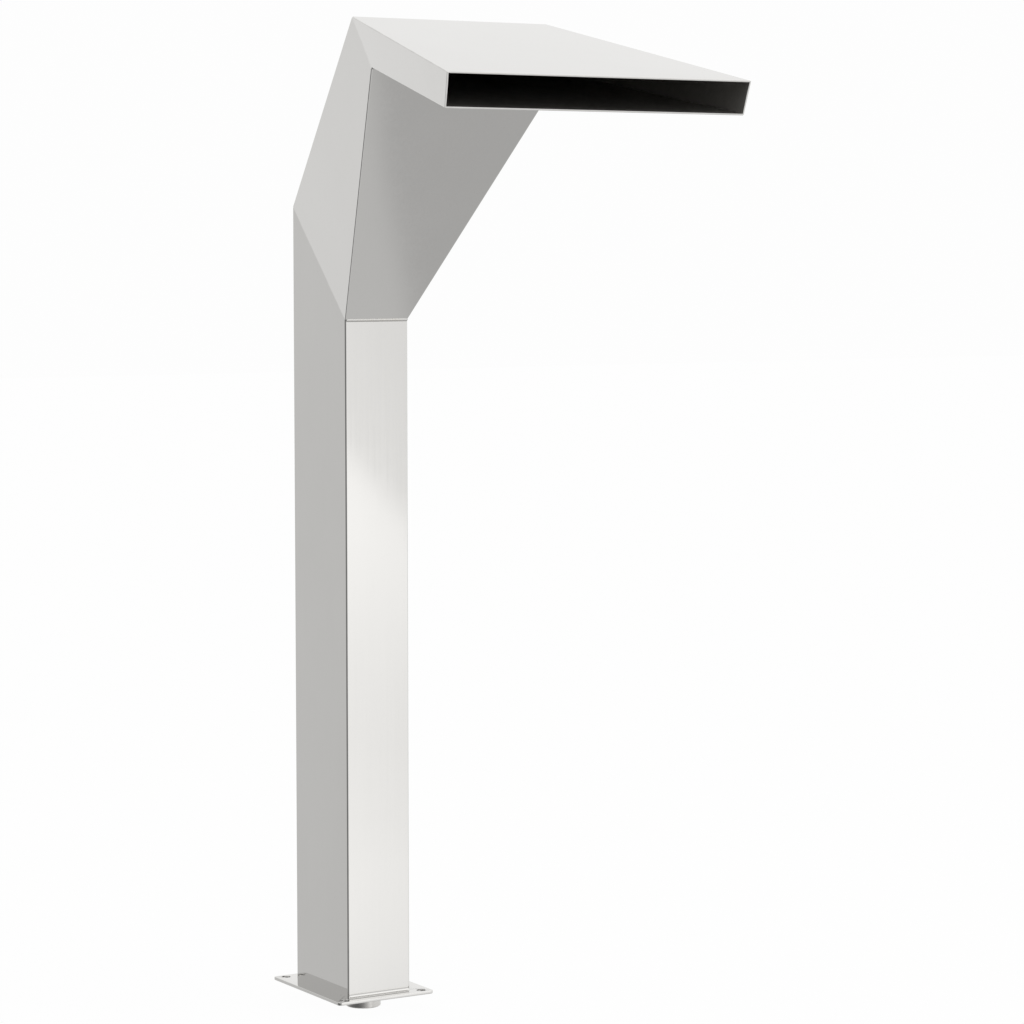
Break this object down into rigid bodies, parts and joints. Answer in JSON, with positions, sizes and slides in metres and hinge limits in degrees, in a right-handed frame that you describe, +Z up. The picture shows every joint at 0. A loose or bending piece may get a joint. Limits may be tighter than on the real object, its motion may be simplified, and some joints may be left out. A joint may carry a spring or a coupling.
{
  "type": "pool fountain spout",
  "caption": "Stainless steel garden waterfall spout: rectangular post on a drilled foot plate, widening neck and flat head with a wide slot mouth.",
  "frame": {"origin": "centre of the base plate's underside, the face that rests on the deck", "axes": "+Z up along the post, -Y the way the mouth throws the water, X across the part, which is symmetric about X = 0"},
  "size_m": [0.2976, 0.4998, 0.9138],
  "materials": {
    "polished_sheet": "polished",
    "plate_steel": "polished",
    "nipple_steel": "machined",
    "weld_metal": "satin",
    "inner_steel": "mill finish"
  },
  "bodies": {
    "root": {"base_plate": "plate_steel", "diffuser_ledge_left": "inner_steel", "diffuser_ledge_right": "inner_steel", "diffuser_plate": "inner_steel", "foot_weld_back": "weld_metal", "foot_weld_front": "weld_metal", "front_seam_weld": "weld_metal", "head_floor_panel": "polished_sheet", "head_left_side": "polished_sheet", "head_right_side": "polished_sheet", "head_top_panel": "polished_sheet", "inlet_nipple": "nipple_steel", "inlet_weld_ring": "weld_metal", "neck_back_panel": "polished_sheet", "neck_left_side": "polished_sheet", "neck_right_side": "polished_sheet", "neck_underside_panel": "polished_sheet", "post_back_panel": "polished_sheet", "post_front_panel": "polished_sheet", "post_left_side": "polished_sheet", "post_right_side": "polished_sheet", "throat_seam_weld": "weld_metal"}
  },
  "joints": []
}
